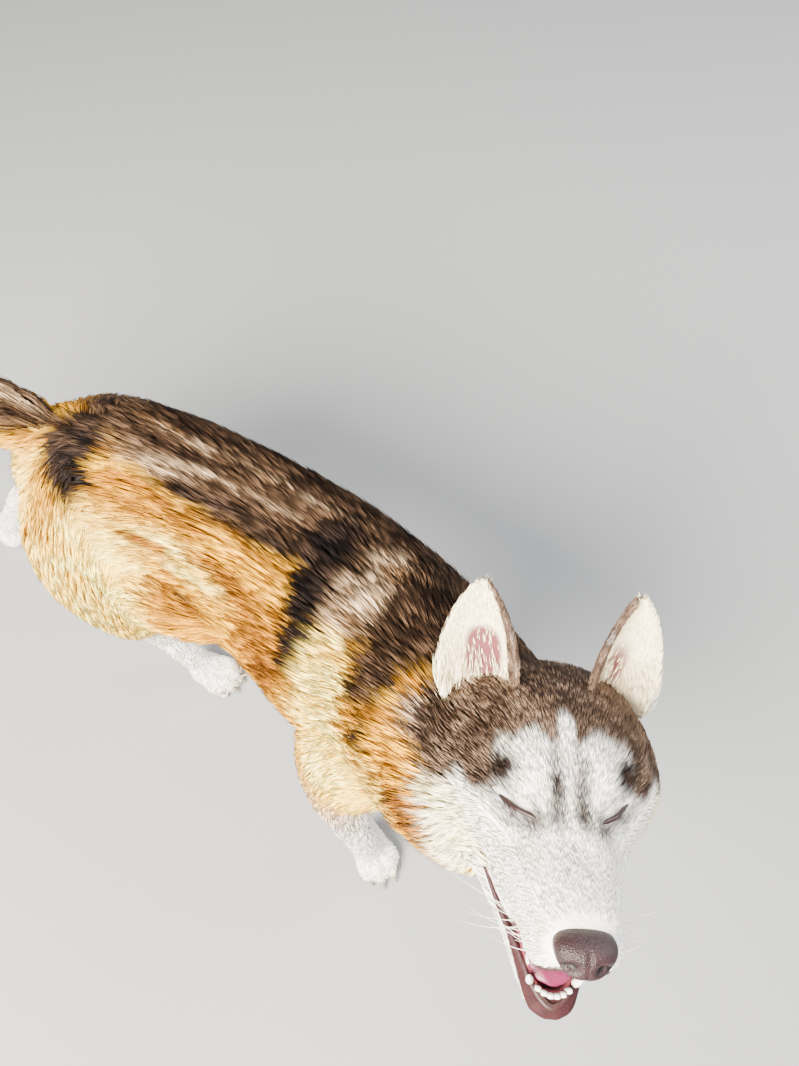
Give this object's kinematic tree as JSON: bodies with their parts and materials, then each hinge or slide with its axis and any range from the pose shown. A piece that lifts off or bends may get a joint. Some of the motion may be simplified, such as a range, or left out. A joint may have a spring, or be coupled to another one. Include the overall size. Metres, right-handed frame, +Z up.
{
  "type": "siberian husky figure",
  "caption": "Life-size still model of a walking husky dog, head raised to its right, mouth open and eyes closed, with ruff and brush tail.",
  "frame": {"origin": "on the floor, under the middle of the dog's bounding box", "axes": "+X from rump to shoulders, +Y to the dog's left, +Z up"},
  "size_m": [1.1184, 0.3824, 0.7221],
  "materials": {
    "coat_back": "matt",
    "coat_golden": "matt",
    "coat_cream": "matt",
    "leather": "satin",
    "tongue": "gloss"
  },
  "bodies": {
    "root": {"torso": "coat_golden", "neck": "coat_back", "head": "coat_cream", "nose": "leather", "ear_left": "coat_back", "ear_right": "coat_back", "eyelids_left": "coat_cream", "eyelids_right": "coat_cream", "lower_jaw": "coat_cream", "tongue": "tongue", "tail": "coat_back", "foreleg_right": "coat_golden", "forepaw_right": "coat_cream", "foreleg_left": "coat_golden", "forepaw_left": "coat_cream", "hindleg_right": "coat_golden", "hindpaw_right": "coat_cream", "hindleg_left": "coat_golden", "hindpaw_left": "coat_cream"}
  },
  "joints": []
}
